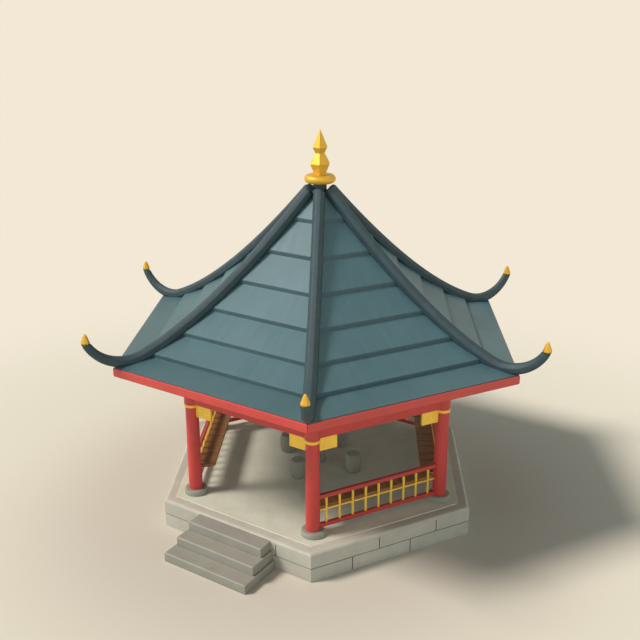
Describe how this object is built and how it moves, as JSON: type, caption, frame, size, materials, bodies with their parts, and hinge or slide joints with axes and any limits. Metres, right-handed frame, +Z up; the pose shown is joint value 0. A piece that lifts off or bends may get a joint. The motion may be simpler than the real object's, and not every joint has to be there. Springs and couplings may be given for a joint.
{
  "type": "hexagonal garden pavilion",
  "caption": "Hexagonal garden pavilion: red columns on a stone platform with steps, a hollow-curved tile roof with upturned ridges and a gilt finial, lattice balustrades and benches.",
  "frame": {"origin": "centre of the platform's underside, on the pavilion's axis at ground level", "axes": "+Z up, -Y out of the entrance with the steps, +X to the right of someone who faces the entrance"},
  "size_m": [11.0772, 9.6164, 8.783],
  "materials": {
    "platform_stone": "dressed, worn",
    "floor_stone": "smooth, worn",
    "step_stone": "dressed, worn",
    "drum_stone": "turned, worn",
    "column_lacquer": "satin red lacquer",
    "beam_lacquer": "satin red lacquer",
    "rail_lacquer": "satin dark red lacquer",
    "gilt_paint": "satin gold paint",
    "gilt_metal": "satin gilding",
    "rafter_wood": "oiled red-brown",
    "roof_plates": "matt slate blue",
    "ridge_tile": "matt dark slate",
    "bench_wood": "oiled brown",
    "furniture_stone": "dressed grey"
  },
  "bodies": {
    "root": {"platform_lower_course": "platform_stone", "platform_upper_course": "platform_stone", "floor_slab": "floor_stone", "step_lower": "step_stone", "step_middle": "step_stone", "step_upper": "step_stone", "column_bases": "drum_stone", "columns": "column_lacquer", "column_collars": "gilt_paint", "bracket_plates": "gilt_paint", "tie_beams": "beam_lacquer", "frieze_boards": "beam_lacquer", "eave_beams": "beam_lacquer", "common_rafters": "rafter_wood", "hip_rafters": "rafter_wood", "king_post": "rafter_wood", "eave_fascia_1": "beam_lacquer", "eave_fascia_2": "beam_lacquer", "eave_fascia_3": "beam_lacquer", "eave_fascia_4": "beam_lacquer", "eave_fascia_5": "beam_lacquer", "eave_fascia_6": "beam_lacquer", "roof_slope_1": "roof_plates", "roof_slope_2": "roof_plates", "roof_slope_3": "roof_plates", "roof_slope_4": "roof_plates", "roof_slope_5": "roof_plates", "roof_slope_6": "roof_plates", "hip_ridge_1": "ridge_tile", "hip_ridge_2": "ridge_tile", "hip_ridge_3": "ridge_tile", "hip_ridge_4": "ridge_tile", "hip_ridge_5": "ridge_tile", "hip_ridge_6": "ridge_tile", "ridge_tips": "gilt_metal", "roof_crown": "ridge_tile", "finial_disc": "gilt_metal", "finial_spire": "gilt_metal", "balustrade_rails": "rail_lacquer", "lattice_panel_1": "gilt_paint", "lattice_panel_2": "gilt_paint", "lattice_panel_3": "gilt_paint", "lattice_panel_4": "gilt_paint", "lattice_panel_5": "gilt_paint", "bench_seats": "bench_wood", "stone_table": "furniture_stone", "drum_stools": "furniture_stone"}
  },
  "joints": []
}
